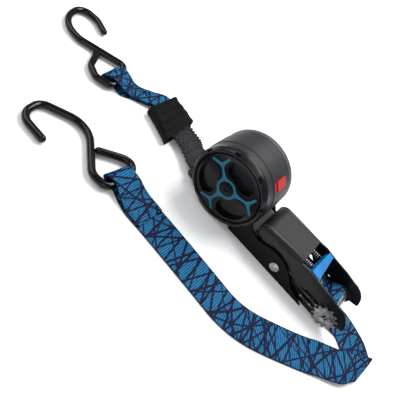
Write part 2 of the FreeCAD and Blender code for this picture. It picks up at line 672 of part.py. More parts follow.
def webbing_feed():
    """From the reel's mouth over the rivet's bush, under the drive pawl and up to the spindle."""
    half = size("web_thick") / 2
    over_bush = size("rivet_z") + size("rivet_radius") + 0.5 + half + 0.05
    top = size("spindle_z") + size("spindle_radius") + 2.0 + half
    points = [(10.0, 9.0), (30.0, 11.0), (60.0, 13.4), (78.8, over_bush), (92.0, 14.0), (101.0, 13.2),
              (119.0, 13.2), (126.0, 15.6), (131.0, 19.4), (135.0, top - 0.7), (139.0, top)]
    feature("webbing_feed", channel_webbing(points))


def webbing_core():
    """Through the spindle's slot, a quarter turn round each half."""
    sx, sz = size("spindle_x"), size("spindle_z")
    radius = size("spindle_radius") + 0.1 + size("web_thick") / 2
    upper = [on_circle(radius, degrees, sx, sz) for degrees in (136, 124, 112)]
    lower = [on_circle(radius, degrees, sx, sz) for degrees in (292, 304, 316)]
    points = upper + [(sx - 0.7, sz + 7.3), (sx, sz + 6.0), (sx, sz - 6.0), (sx + 0.7, sz - 7.3)] + lower
    feature("webbing_core", channel_webbing(points))


def loop_stations(bar, heading, edges, degrees):
    """A slack loop over the hook's bar and back under it. Each edge is (its place along the bar, how
    far it leans in at the fold, how far the fold stands past the bar)."""
    rise = size("rod_radius") + 0.3 + size("web_thick") / 2
    angle = math.radians(heading)
    rows = []
    for turn in degrees:
        ahead, up = max(0.0, math.cos(math.radians(turn))), math.sin(math.radians(turn))
        back = min(0.0, math.cos(math.radians(turn)))
        row = []
        for side, lean, reach in edges:
            x, y = reach * ahead + rise * back, side + lean * ahead
            row.append((bar[0] + x * math.cos(angle) - y * math.sin(angle),
                        bar[1] + x * math.sin(angle) + y * math.cos(angle),
                        size("bar_height") + (rise + 0.4 * max(0.0, up)) * up))
        rows.append(tuple(row))
    return rows


def webbing_long():
    """From the spindle's underside, straight out of the nose, folded back and on to the long hook."""
    half, low = size("web_wide") / 2, size("web_thick") / 2 + 0.1
    rows = [((x, half, z), (x, -half, z)) for x, z in ((141.0, 3.2), (148.0, 2.4), (156.0, 1.0), (162.0, low))]
    far, near = (200.5, 0.0), (194.5, -38.0)
    bend = 1.7
    for degrees in (0, 45, 90, 135, 180):
        out, up = bend * math.sin(math.radians(degrees)), bend * (1 - math.cos(math.radians(degrees)))
        rows.append(((far[0] + out, far[1], low + up), (near[0] + out, near[1], low + up)))
    rows.append(((173.0, -23.5, low + 3.4), (186.0, -51.5, low + 3.4)))
    rows.append(across(158.0, -50.0, low + 1.2, 209, -size("web_wide")))
    for x, y, heading in ((146, -57.5, 208), (112, -76, 206), (98, -82.3, 201), (84, -86.2, 194), (70, -87.6, 184),
                          (56, -87, 179), (40, -86.2, 178), (0, -84.6, 178), (-22, -84, 180)):
        rows.append(across(x, y, low, heading, -size("web_wide")))
    rows.append(across(-42.0, -83.8, low, 182, -31.5))
    rows.append(across(-52.0, -82.4, low, 184, -30.0))
    rows += loop_stations(LONG_BAR, LONG_HEADING, LONG_LOOP, range(-90, 131, 20))
    rows.append(across(-56.5, -81.2, 7.4, 184, -28.5))
    rows.append(across(-45.0, -82.8, 3.4, 183, -30.5))
    rows.append(across(-24.0, -83.8, low + 1.5, 180, -31.0))
    feature("webbing_long", ribbon(rows, size("web_thick")))


def webbing_short():
    """From inside the keeper sleeve to the short hook and back."""
    low = size("web_thick") / 2 + 0.1
    rows = [across(-90.0, 18.6, 3.2, 170, 28.0), across(-106.0, 22.4, 3.2, 174, 28.0),
            across(-118.0, 25.6, 4.4, 192, 25.0), across(-129.0, 16.4, 3.0, 212, 20.5),
            across(-143.0, 7.6, low, 212, 20.5), across(-152.0, 2.8, low, 209, 25.0)]
    rows += loop_stations(SHORT_BAR, SHORT_HEADING, SHORT_LOOP, range(-90, 131, 20))
    rows.append(across(-153.6, 4.6, 7.6, 209, 25.5))
    rows.append(across(-143.0, 8.4, 4.0, 212, 20.5))
    rows.append(across(-129.0, 17.2, 5.2, 212, 20.5))
    rows.append(across(-118.5, 25.4, 6.5, 194, 23.5))
    rows.append(across(-111.5, 24.2, 6.3, 180, 25.0))
    feature("webbing_short", ribbon(rows, size("web_thick")))


# ---------------------------------------------------------------- short tail

def tread_strap():
    """Rubber strap with an eye round the anchor pin, a flat run and saw-tooth edges."""
    pin_x, pin_z = size("anchor_x"), size("anchor_z")
    half, flat, heading = size("tread_wide") / 2, 6.4, 166.0
    rows = [((x, y - half, z), (x, y + half, z)) for x, y, z in
            ((pin_x - 3.6, 1.3, pin_z), (pin_x - 8.0, 2.4, pin_z), (pin_x - 14.0, 4.6, pin_z - 0.8))]
    rows += [across(x, y, z, heading, 2 * half) for x, y, z in
             ((-64.0, 12.4, flat + 1.0), (-76.0, 15.2, flat), (-104.0, 21.8, flat))]
    strap = ribbon(rows, size("tread_thick"))
    eye = Part.makeCylinder(5.2, 2 * half, V(pin_x, 1.3 - half, pin_z), V(0, 1, 0))
    bore = Part.makeCylinder(size("anchor_radius") + size("fit_gap"), 80, V(pin_x, -40, pin_z), V(0, 1, 0))
    nicks = []
    for step in range(9):
        for side in (1, -1):
            nick = Part.makeCylinder(1.25, 14, V(-4.6 * step, side * (half + 0.35), 0), V(0, 0, 1))
            nick.rotate(V(0, 0, 0), V(0, 0, 1), heading - 180)
            nick.translate(V(-60.0, 11.3, 0))
            nicks.append(nick)
    feature("tread_strap", strap.fuse(eye).cut(Part.makeCompound([bore] + nicks)))


def tube_section(x, y, wide, tall, corner, skew):
    """A rounded rectangle across the sleeve, with its middle at (x, y)."""
    points = [(-wide / 2, 0), (wide / 2, 0), (wide / 2, tall), (-wide / 2, tall)]
    ring = Part.makePolygon([V(0, a, b) for a, b in points + points[:1]])
    face = Part.Face(ring)
    block = face.extrude(V(1, 0, 0))
    edges = [e for e in block.Edges if abs(e.tangentAt(e.FirstParameter).x) > 0.9]
    end = min(block.makeFillet(corner, edges).Faces, key=lambda f: f.CenterOfMass.x)
    wire = end.OuterWire
    wire.rotate(V(0, 0, 0), V(0, 0, 1), skew)
    wire.translate(V(x, y, 0))
    return wire


def keeper_sleeve():
    """Flat fabric tube round the rubber strap and the short webbing, wider at the reel's end."""
    wall, low = 1.5, 0.2
    ends = ((-79.5, 12.5, 50.0, 11.6, 6.0), (-98.0, 18.0, 47.0, 11.6, 3.0), (-115.5, 22.5, 44.0, 11.0, 0.0))
    outer = Part.makeLoft([tube_section(x, y, wide, tall, 5.0, skew) for x, y, wide, tall, skew in ends], True)
    core = [tube_section(x, y, wide - 2 * wall, tall - 2 * wall, 3.6, skew) for x, y, wide, tall, skew in ends]
    for ring in core:
        ring.translate(V(0, 0, wall))
    core[0].translate(V(1.0, 0, 0))
    core[-1].translate(V(-1.0, 0, 0))
    tube = outer.cut(Part.makeLoft(core, True))
    tube.translate(V(0, 0, low))
    feature("keeper_sleeve", tube)


def rounded_path(corners):
    """Straight runs joined by tangent arcs; a corner is (x, y, bend radius)."""
    points = [V(x, y, 0) for x, y, radius in corners]
    edges, here = [], points[0]
    for i in range(1, len(points) - 1):
        into, out = points[i] - points[i - 1], points[i + 1] - points[i]
        into.normalize()
        out.normalize()
        half_turn = math.acos(max(-1.0, min(1.0, into.dot(out)))) / 2
        radius = corners[i][2]
        run = radius * math.tan(half_turn)
        start, end = points[i] - into * run, points[i] + out * run
        bisector = out - into
        bisector.normalize()
        middle = points[i] + bisector * (radius / math.cos(half_turn) - radius)
        edges.append(Part.LineSegment(here, start).toShape())
        edges.append(Part.Arc(start, middle, end).toShape())
        here = end
    edges.append(Part.LineSegment(here, points[-1]).toShape())
    return Part.Wire(edges)


def bent_rod(points, radius):
    path = rounded_path(points)
    first = path.Edges[0]
    start, along = first.valueAt(first.FirstParameter), first.tangentAt(first.FirstParameter)
    section = Part.Wire(Part.makeCircle(radius, start, along))
    rod = path.makePipeShell([section], True, False)
    error = abs(rod.Volume / (math.pi * radius ** 2 * path.Length) - 1)
    if error > 0.02:
        raise RuntimeError("a bent rod lost volume")
    return rod


def place_hook(shape, bar, heading, reach):
    """Lowers the hook's far end to the floor and turns it to its heading."""
    drop = math.degrees(math.asin((size("bar_height") - size("rod_radius") - 0.1) / reach))
    shape.rotate(V(0, 0, 0), V(0, 1, 0), drop)
    shape.rotate(V(0, 0, 0), V(0, 0, 1), heading)
    shape.translate(V(bar[0], bar[1], size("bar_height")))
    return shape


def hooks():
    radius = size("rod_radius")
    long_hook = bent_rod(LONG_HOOK, radius)
    for end in (LONG_HOOK[0], LONG_HOOK[-1]):
        long_hook = long_hook.fuse(Part.makeSphere(radius, V(*end[:2], 0)))
    feature("hook_long", place_hook(long_hook.removeSplitter(), LONG_BAR, LONG_HEADING, 100.0))
    short_hook = bent_rod(SHORT_HOOK, radius).fuse(Part.makeSphere(radius, V(*SHORT_HOOK[0][:2], 0)))
    feature("hook_short", place_hook(short_hook.removeSplitter(), SHORT_BAR, SHORT_HEADING, 88.0))


def tail_parts():
    pin = cylinder("pin", "dims.anchor_radius", "dims.anchor_x", "-18.2",
                   "18.8 + dims.drum_back + dims.cap_thick", "dims.anchor_z")
    keep(pin, "anchor_pin")
    tread_strap()
    keeper_sleeve()
    webbing_short()


def build():
    make_sheet()
    ratchet_frame()
    side_cover("side_cover_near", -1)
    side_cover("side_cover_far", 1)
    frame_rivet()
    spindle_half("spindle_front", 1)
    spindle_half("spindle_rear", -1)
    gear_inner = "(dims.frame_inner + 2 * dims.plate_thick + 2 * dims.layer_gap)"
    ratchet_gear("ratchet_gear_near", "-" + gear_inner)
    ratchet_gear("ratchet_gear_far", gear_inner + " + dims.cover_lip")
    lock_pawl()
    lock_parts()
    drive_pawl()
    release_trigger()
    handle_parts()
    drum_body()
    drum_front_ring()
    case_screws()
    spool()
    winder_dial()
    dial_inlay()
    reel_parts()
    reel_button()
    webbing_feed()
    webbing_core()
    webbing_long()
    hooks()
    tail_parts()
    HERE.recompute()


def check_and_write():
    for thing in HERE.Objects:
        if "Invalid" in thing.State or "Error" in thing.State:
            raise RuntimeError("%s failed: %s" % (thing.Name, thing.State))
    os.makedirs("parts", exist_ok=True)
    for label, thing in made.items():
        shape = thing.Shape
        if shape.isNull() or not shape.isValid():
            raise RuntimeError("%s has no valid shape" % label)
        room = shape.BoundBox
        print("%-20s solids %d  volume %9.1f  x %7.1f %7.1f  y %7.1f %7.1f  z %7.1f %7.1f" % (
            label, len(shape.Solids), shape.Volume, room.XMin, room.XMax, room.YMin, room.YMax, room.ZMin, room.ZMax))
        shape.exportStep("parts/%s.step" % label)


build()
check_and_write()
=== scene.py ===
import math

import bpy
import numpy as np
from mathutils import Matrix, Vector


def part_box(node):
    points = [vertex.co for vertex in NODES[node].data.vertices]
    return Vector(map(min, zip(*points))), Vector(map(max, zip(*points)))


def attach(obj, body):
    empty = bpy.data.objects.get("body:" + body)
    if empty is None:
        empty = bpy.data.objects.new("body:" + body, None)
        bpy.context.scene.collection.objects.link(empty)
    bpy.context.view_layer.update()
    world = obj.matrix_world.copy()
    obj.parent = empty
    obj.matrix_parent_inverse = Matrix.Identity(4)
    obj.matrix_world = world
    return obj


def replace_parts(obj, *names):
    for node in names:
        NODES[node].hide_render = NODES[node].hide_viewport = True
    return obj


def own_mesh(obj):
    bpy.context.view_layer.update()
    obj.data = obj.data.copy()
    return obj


# Ratchet tie down with a webbing reel. Lengths in the lists below are millimetres in the row
# frame: X from the reel to the winding spindle, Y along the spindle, Z up from the floor.
MM = 0.001
TURN = 2 * math.pi
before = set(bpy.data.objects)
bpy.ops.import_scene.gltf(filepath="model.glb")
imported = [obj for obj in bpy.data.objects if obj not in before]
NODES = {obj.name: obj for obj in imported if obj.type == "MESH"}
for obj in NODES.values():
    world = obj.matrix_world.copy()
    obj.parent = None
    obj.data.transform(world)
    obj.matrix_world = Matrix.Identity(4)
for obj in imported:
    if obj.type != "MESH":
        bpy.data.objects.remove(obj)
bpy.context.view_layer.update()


# ---------------------------------------------------------------- material nodes

def tint(red, green, blue):
    """A colour given as 0 to 255 display values, in Blender's linear values."""
    def linear(value):
        value /= 255.0
        return value / 12.92 if value <= 0.04045 else ((value + 0.055) / 1.055) ** 2.4
    return (linear(red), linear(green), linear(blue), 1.0)


def shade(colour, by):
    """A colour made darker or lighter."""
    return tuple(min(1.0, part * by) for part in colour[:3]) + (1.0,)


class Tree:
    """Short calls for building one material's nodes."""

    def __init__(self, name):
        self.material = bpy.data.materials.new(name)
        self.material.use_nodes = True
        self.nodes = self.material.node_tree.nodes
        self.links = self.material.node_tree.links
        self.shader = self.nodes["Principled BSDF"]
        self.place = self.add("ShaderNodeTexCoord").outputs["Object"]

    def add(self, kind, **settings):
        node = self.nodes.new(kind)
        for key, value in settings.items():
            setattr(node, key, value)
        return node

    def put(self, socket, value):
        if isinstance(value, bpy.types.NodeSocket):
            self.links.new(value, socket)
        else:
            socket.default_value = value

    def math(self, operation, *values, clamp=False):
        node = self.add("ShaderNodeMath", operation=operation, use_clamp=clamp)
        for socket, value in zip(node.inputs, values):
            self.put(socket, value)
        return node.outputs[0]

    def split(self, vector):
        """The X, Y and Z of a vector."""
        node = self.add("ShaderNodeSeparateXYZ")
        self.put(node.inputs[0], vector)
        return node.outputs

    def noise(self, per_mm, detail, rough=0.5, place=None, unit=MM):
        """Noise whose features are about one over per_mm millimetres in size. Unit is one
        millimetre in the units of place."""
        node = self.add("ShaderNodeTexNoise")
        self.put(node.inputs["Vector"], place or self.place)
        self.put(node.inputs["Scale"], per_mm / unit)
        self.put(node.inputs["Detail"], detail)
        self.put(node.inputs["Roughness"], rough)
        return node.outputs[0]

    def ramp(self, value, *stops):
        """Stops are (place, colour); the colour runs between them."""
        node = self.add("ShaderNodeValToRGB")
        elements = node.color_ramp.elements
        while len(elements) < len(stops):
            elements.new(0.5)
        for element, (place, colour) in zip(elements, stops):
            element.position, element.color = place, colour
        self.put(node.inputs["Fac"], value)
        return node.outputs["Color"]

    def step(self, value, low, high, out_low=0.0, out_high=1.0):
        node = self.add("ShaderNodeMapRange", interpolation_type="SMOOTHSTEP")
        for socket, number in zip(node.inputs, (value, low, high, out_low, out_high)):
            self.put(socket, number)
        return node.outputs[0]

    def mix(self, share, first, second):
        node = self.add("ShaderNodeMix", data_type="RGBA")
        self.put(node.inputs["Factor"], share)
        self.put(node.inputs[6], first)
        self.put(node.inputs[7], second)
        return node.outputs[2]

    def edges(self, radius_mm):
        """1 on sharp edges and 0 on flats, from how far a rounded normal leans from the true one,
        and that rounded normal."""
        bevel = self.add("ShaderNodeBevel", samples=4)
        self.put(bevel.inputs["Radius"], radius_mm * MM)
        dot = self.add("ShaderNodeVectorMath", operation="DOT_PRODUCT")
        self.put(dot.inputs[0], bevel.outputs[0])
        self.put(dot.inputs[1], self.add("ShaderNodeNewGeometry").outputs["Normal"])
        return self.step(dot.outputs["Value"], 0.995, 0.86), bevel.outputs[0]

    def bump(self, height, depth_mm, strength, normal=None):
        node = self.add("ShaderNodeBump")
        self.put(node.inputs["Strength"], strength)
        self.put(node.inputs["Distance"], depth_mm * MM)
        self.put(node.inputs["Height"], height)
        if normal is not None:
            self.put(node.inputs["Normal"], normal)
        return node.outputs[0]

    def finish(self, colour, rough, normal=None, **numbers):
        self.put(self.shader.inputs["Base Color"], colour)
        self.put(self.shader.inputs["Roughness"], rough)
        if normal is not None:
            self.put(self.shader.inputs["Normal"], normal)
        for key, value in numbers.items():
            self.shader.inputs[key.replace("_", " ")].default_value = value
        return self.material


def moulded(name, colour, pale_tone, rough, grain_mm, depth, edge=0.5, shine=0.35, coat=0.0,
            seam_shade=(), hollow_shade=0.0, rim_from=None):
    """Moulded plastic or rubber: fine grain, soft patches, and edges drawn lighter, partly rubbed wear and
    partly a painted highlight. Seams are dark lines of painted shade, each (its Y, its half width) in mm.
    Painted shade darkens the gaps between raised parts as strongly as the argument for hollow shade asks, and
    the surface is paler beyond rim_from, in mm along Y."""
    t = Tree(name)
    edge_highlight, rounded = t.edges(edge)
    patches = t.noise(0.06, 4.0)
    fine = t.noise(1.0 / grain_mm, 2.0)
    base = t.ramp(patches, (0.30, shade(colour, 0.80)), (0.50, colour), (0.72, shade(colour, 1.18)))
    scuffs = t.step(t.noise(0.35, 6.0, 0.65), 0.50, 0.66)
    # edges drawn lighter: rubbed wear where the scuffs are, and a painted highlight along every edge
    base = t.mix(t.math("MULTIPLY", edge_highlight, t.math("MULTIPLY_ADD", scuffs, 0.5, 0.25)), base, pale_tone)
    _, along_y, _ = t.split(t.place)
    if rim_from is not None:
        past = t.step(along_y, rim_from * MM, (rim_from + 0.4) * MM, 0.0, 0.45)
        base = t.mix(past, base, pale_tone)
    # painted shade: a thin dark line for the shade in each seam's groove
    for seam, half in seam_shade:
        away = t.math("ABSOLUTE", t.math("SUBTRACT", along_y, seam * MM))
        line = t.step(away, (half + 0.15) * MM, (half - 0.15) * MM, 0.0, 0.9)
        base = t.mix(line, base, tint(6, 6, 8))
    # painted shade: an ambient occlusion node darkens the gaps between raised parts
    if hollow_shade:
        occlusion = t.add("ShaderNodeAmbientOcclusion", samples=8)
        t.put(occlusion.inputs["Distance"], 1.6 * MM)
        base = t.mix(t.step(occlusion.outputs["AO"], 0.92, 0.55, 0.0, hollow_shade), base, tint(4, 4, 6))
    gloss = t.math("MULTIPLY_ADD", patches, 0.22, rough - 0.11, clamp=True)
    gloss = t.math("MULTIPLY_ADD", fine, 0.10, gloss, clamp=True)
    return t.finish(base, gloss, t.bump(fine, depth, 0.8, rounded), Specular_IOR_Level=shine,
                    Coat_Weight=coat, Coat_Roughness=0.12)


def metal(name, colour, rough, scratch=0.5, edge=0.35):
    """Plated or bare steel: cloudy roughness, fine scratches, darker grime in patches, and a painted highlight
    along its edges.
    """
    t = Tree(name)
    edge_highlight, rounded = t.edges(edge)
    stretched = t.add("ShaderNodeMapping")
    t.put(stretched.inputs["Vector"], t.place)
    t.put(stretched.inputs["Scale"], (0.25, 3.0, 1.0))
    lines = t.noise(1.4, 6.0, 0.7, stretched.outputs[0])
    patches = t.noise(0.25, 5.0, 0.6)
    base = t.ramp(patches, (0.28, shade(colour, 0.42)), (0.52, colour), (0.80, tint(225, 226, 228)))
    # painted highlight: edges drawn near white
    base = t.mix(t.math("MULTIPLY", edge_highlight, 0.4), base, tint(235, 235, 236))
    gloss = t.math("MULTIPLY_ADD", lines, scratch * 0.4, rough - scratch * 0.2, clamp=True)
    return t.finish(base, gloss, t.bump(lines, 0.02 * scratch, 0.6, rounded), Metallic=0.92)


def coated(name, colour, pale_tone, rough, lumps_mm, depth, shine, coat=0.0):
    """Paint or dipped vinyl over metal: orange peel, small nicks, and edges drawn lighter, partly rubbed wear
    and partly a painted highlight.
    """
    t = Tree(name)
    edge_highlight, rounded = t.edges(0.5)
    peel = t.noise(1.0 / lumps_mm, 2.0)
    nicks = t.step(t.noise(0.5, 8.0, 0.7), 0.64, 0.72)
    patches = t.noise(0.05, 4.0)
    base = t.ramp(patches, (0.32, shade(colour, 0.75)), (0.60, colour))
    base = t.mix(t.math("MULTIPLY", nicks, 0.35), base, pale_tone)
    # edges drawn lighter: rubbed wear where the nicks are, and a painted highlight along every edge
    base = t.mix(t.math("MULTIPLY", edge_highlight, t.math("MULTIPLY_ADD", nicks, 0.5, 0.22)), base, pale_tone)
    gloss = t.math("MULTIPLY_ADD", patches, 0.18, rough - 0.09, clamp=True)
    gloss = t.math("MULTIPLY_ADD", nicks, 0.15, gloss, clamp=True)
    return t.finish(base, gloss, t.bump(peel, depth, 0.7, rounded), Specular_IOR_Level=shine,
                    Coat_Weight=coat, Coat_Roughness=0.10)


# Families of navy lines on the webbing: lean in degrees, spacing in mm, width in mm.
LINE_FAMILIES = ((9, 11.5, 1.15), (-17, 13.5, 1.25), (29, 14.0, 1.1), (-38, 16.0, 1.2),
                 (53, 18.0, 1.05), (-62, 20.0, 1.1))
RIB_PITCH, YARN_PITCH = 1.9, 0.9


def webbing_material(name):
    """Blue jacquard webbing crossed by navy lines. Its UV map is (across, along) in decimetres."""
    t = Tree(name)
    flat = t.split(t.add("ShaderNodeUVMap", uv_map="strip").outputs[0])
    x = t.math("MULTIPLY", flat[0], 100.0)
    y = t.math("MULTIPLY", flat[1], 100.0)
    where = t.add("ShaderNodeCombineXYZ")
    t.put(where.inputs[0], x)
    t.put(where.inputs[1], y)
    sway = t.noise(0.02, 1.0, place=where.outputs[0], unit=1.0)
    drift = t.math("MULTIPLY_ADD", sway, 6.0, -3.0)
    lines = 0.0
    for index, (lean, gap, thick) in enumerate(LINE_FAMILIES):
        angle = math.radians(lean)
        turned = t.math("MULTIPLY_ADD", x, math.sin(angle), t.math("MULTIPLY", y, math.cos(angle)))
        beside = t.math("MULTIPLY_ADD", x, math.cos(angle), t.math("MULTIPLY", y, -math.sin(angle)))
        turned = t.math("ADD", turned, t.math("MULTIPLY", drift, 0.45 + 0.11 * index))
        cell = t.math("MULTIPLY_ADD", turned, 1.0 / gap, 0.37 * index)
        chance = t.add("ShaderNodeTexWhiteNoise", noise_dimensions="1D")
        t.put(chance.inputs["W"], t.math("ADD", t.math("FLOOR", cell), 7.3 * index))
        part = t.add("ShaderNodeSeparateColor")
        t.put(part.inputs[0], chance.outputs["Color"])
        middle = t.math("MULTIPLY_ADD", part.outputs[0], 0.44, 0.28)
        slope = t.math("MULTIPLY", t.math("SUBTRACT", part.outputs[1], 0.5), 0.030)
        middle = t.math("MULTIPLY_ADD", t.math("MULTIPLY", slope, beside), 0.35, middle)
        off = t.math("ABSOLUTE", t.math("SUBTRACT", t.math("FRACT", cell), middle))
        wide = t.math("MULTIPLY_ADD", part.outputs[2], 0.5, thick * 0.5)
        off = t.math("SUBTRACT", t.math("MULTIPLY", off, gap), wide)
        lines = t.math("MAXIMUM", lines, t.step(off, 0.25, -0.15))
    selvage = t.step(t.math("ABSOLUTE", x), 14.7, 15.2)
    dark = t.math("MAXIMUM", lines, t.math("MULTIPLY", selvage, 0.85))
    rib, yarn = (t.math("MULTIPLY_ADD", t.math("SINE", t.math("MULTIPLY", place, TURN / pitch)), 0.5, 0.5)
                 for place, pitch in ((y, RIB_PITCH), (x, YARN_PITCH)))
    pale_tone = t.noise(0.35, 5.0, place=where.outputs[0], unit=1.0)
    blue = t.ramp(t.math("MULTIPLY_ADD", rib, 0.50, t.math("MULTIPLY", pale_tone, 0.5)),
                  (0.16, tint(8, 40, 70)), (0.42, tint(14, 76, 116)), (0.82, tint(34, 118, 164)))
    navy = t.ramp(t.math("MULTIPLY_ADD", yarn, 0.35, t.math("MULTIPLY", pale_tone, 0.65)),
                  (0.25, tint(5, 6, 26)), (0.75, tint(14, 19, 56)))
    height = t.math("ADD", t.math("MULTIPLY", rib, 0.7), t.math("MULTIPLY", yarn, 0.3))
    height = t.math("MULTIPLY_ADD", dark, 0.35, height)
    return t.finish(t.mix(dark, blue, navy), t.math("MULTIPLY_ADD", pale_tone, 0.2, 0.55),
                    t.bump(height, 0.22, 0.85), Specular_IOR_Level=0.12)


def woven(name, colour, light, pitch=0.9, depth=0.25):
    """Plain-woven fabric with a nap, from threads along the piece's own X and its Y and Z."""
    t = Tree(name)
    x, y, z = t.split(t.place)
    wave = TURN / (pitch * MM)
    warp = t.math("SINE", t.math("MULTIPLY", x, wave))
    weft = t.math("SINE", t.math("MULTIPLY", t.math("ADD", y, z), wave))
    cloth = t.math("MULTIPLY", warp, weft)
    nap = t.noise(0.8, 6.0, 0.7)
    patches = t.noise(0.07, 3.0)
    cloudy = t.math("MULTIPLY_ADD", nap, 0.6, t.math("MULTIPLY", patches, 0.4))
    base = t.ramp(cloudy, (0.30, colour), (0.75, light))
    height = t.math("MULTIPLY_ADD", cloth, 0.5, nap)
    return t.finish(base, t.math("MULTIPLY_ADD", nap, 0.2, 0.78), t.bump(height, depth, 0.9),
                    Specular_IOR_Level=0.1, Sheen_Weight=0.04, Sheen_Roughness=0.5)


def grooved_grip(name):
    """Soft grip: fine pebble grain, a painted highlight on its edges, and along each side of its top a
    moulded groove drawn dark with painted shade, and outside it a painted highlight where the top rounds over."""
    groove_y, highlight_y, top_from, top_full = 14.6, 16.6, 30.5, 31.5
    t = Tree(name)
    edge_highlight, rounded = t.edges(0.8)
    _, y, z = t.split(t.place)
    aside = t.math("ABSOLUTE", y)
    high = t.step(z, top_from * MM, top_full * MM)
    groove = t.step(t.math("ABSOLUTE", t.math("SUBTRACT", aside, groove_y * MM)), 0.65 * MM, 0.30 * MM)
    groove = t.math("MULTIPLY", groove, high)
    # painted highlight: a lighter band on the rounded edge outside each groove
    ridge_highlight = t.step(t.math("ABSOLUTE", t.math("SUBTRACT", aside, highlight_y * MM)), 1.5 * MM, 0.9 * MM)
    edge_highlight = t.math("MAXIMUM", edge_highlight, t.math("MULTIPLY", ridge_highlight, high))
    pebble = t.noise(2.2, 2.0)
    base = t.ramp(t.noise(0.07, 4.0), (0.3, tint(8, 8, 10)), (0.7, tint(17, 17, 20)))
    # painted highlight: the edges and that band drawn lighter
    base = t.mix(t.math("MULTIPLY", edge_highlight, 0.55), base, tint(60, 60, 64))
    # painted shade: the groove's line drawn dark
    base = t.mix(t.math("MULTIPLY", groove, 0.85), base, tint(10, 10, 12))
    height = t.math("MULTIPLY_ADD", groove, -6.0, t.math("MULTIPLY", pebble, 0.5))
    return t.finish(base, t.math("MULTIPLY_ADD", pebble, 0.18, 0.44),
                    t.bump(height, 0.06, 0.8, rounded), Specular_IOR_Level=0.28)


# the drum's seam lines are painted shade, each (Y, half width) in mm; the drum is paler beyond DRUM_RIM, in mm
# along Y
DRUM_SEAM_SHADE, DRUM_RIM = [(3.5, 0.3), (14.3, 0.6)], 14.8
WHOLE_CAP = -40.0       # every Y of the cap lies beyond this, so all of it is as pale as the drum's rim

STEEL_BLACK = coated("black_steel", tint(10, 10, 12), tint(56, 56, 60), 0.42, 0.9, 0.03, 0.25)
HANDLE_BLACK = coated("handle_steel", tint(9, 9, 11), tint(70, 70, 74), 0.33, 1.4, 0.03, 0.3)
VINYL = coated("hook_vinyl", tint(3, 3, 6), tint(18, 18, 23), 0.12, 3.0, 0.06, 0.22, coat=0.08)
ZINC = metal("zinc_steel", tint(160, 161, 164), 0.34)
GEAR = metal("gear_steel", tint(142, 141, 138), 0.34, 0.3)
PAWL = metal("pawl_steel", tint(48, 48, 51), 0.42, 0.4)
SPRING = metal("spring_wire", tint(165, 166, 170), 0.28, 0.3, edge=0.1)
COVER = moulded("cover_plastic", tint(8, 8, 10), tint(44, 44, 48), 0.50, 0.5, 0.03, shine=0.12)
TRIGGER = moulded("trigger_plastic", tint(0, 112, 178), tint(20, 156, 214), 0.36, 0.4, 0.015, edge=0.6,
                  shine=0.2)
DRUM = moulded("drum_plastic", tint(38, 38, 42), tint(92, 93, 98), 0.44, 0.4, 0.03, shine=0.22,
               seam_shade=DRUM_SEAM_SHADE, rim_from=DRUM_RIM)
CAP = moulded("cap_plastic", tint(38, 38, 42), tint(92, 93, 98), 0.44, 0.4, 0.03, edge=0.9, shine=0.25,
              rim_from=WHOLE_CAP)
RING = moulded("ring_plastic", tint(7, 7, 9), tint(60, 61, 66), 0.22, 0.6, 0.01, edge=0.8, shine=0.25,
               coat=0.08)
DIAL = moulded("dial_plastic", tint(4, 4, 6), tint(30, 32, 37), 0.18, 0.7, 0.008, shine=0.25, coat=0.06)
INLAY = moulded("inlay_plastic", tint(14, 96, 118), tint(56, 146, 166), 0.38, 0.5, 0.01, edge=0.2)
BUTTON = moulded("button_plastic", tint(168, 20, 8), tint(206, 64, 38), 0.38, 0.5, 0.01, edge=0.12)
# painted shade darkens the gaps between the strap's raised blocks
RUBBER = moulded("strap_rubber", tint(24, 25, 29), tint(74, 76, 82), 0.60, 0.35, 0.05, edge=0.3,
                 shine=0.25, hollow_shade=0.9)
GRIP = grooved_grip("grip_rubber")
FABRIC = woven("sleeve_fabric", tint(2, 2, 4), tint(7, 7, 10))
WEBBING = webbing_material("webbing")
THREAD = woven("stitch_thread", tint(16, 20, 40), tint(34, 42, 78), pitch=0.3, depth=0.05)

FINISHES = {
    STEEL_BLACK: ["ratchet_frame", "lock_spring_seat"],
    HANDLE_BLACK: ["handle_plate_near", "handle_plate_far", "handle_cross_pin"],
    COVER: ["side_cover_near", "side_cover_far", "spool"],
    ZINC: ["frame_rivet", "rivet_sleeve", "spindle_front", "spindle_rear", "pawl_spring_seat", "case_screws",
           "spool_axle"],
    GEAR: ["ratchet_gear_near", "ratchet_gear_far"],
    PAWL: ["drive_pawl", "lock_pawl", "anchor_pin"],
    SPRING: ["lock_pawl_springs", "drive_pawl_springs", "button_spring"],
    TRIGGER: ["release_trigger"],
    GRIP: ["handle_grip"],
    DRUM: ["drum_body"],
    CAP: ["drum_rear_cap"],
    RING: ["drum_front_ring"],
    DIAL: ["winder_dial", "dial_screw"],
    INLAY: ["dial_inlay"],
    BUTTON: ["reel_button", "reel_latch"],
    VINYL: ["hook_long", "hook_short"],
    RUBBER: ["tread_strap"],
    FABRIC: ["keeper_sleeve"],
    WEBBING: ["webbing_feed", "webbing_core", "webbing_long", "webbing_short", "webbing_roll"],
}
for finish, names in FINISHES.items():
    for name in names:
        NODES[name].data.materials.clear()
        NODES[name].data.materials.append(finish)


# ---------------------------------------------------------------- mesh helpers

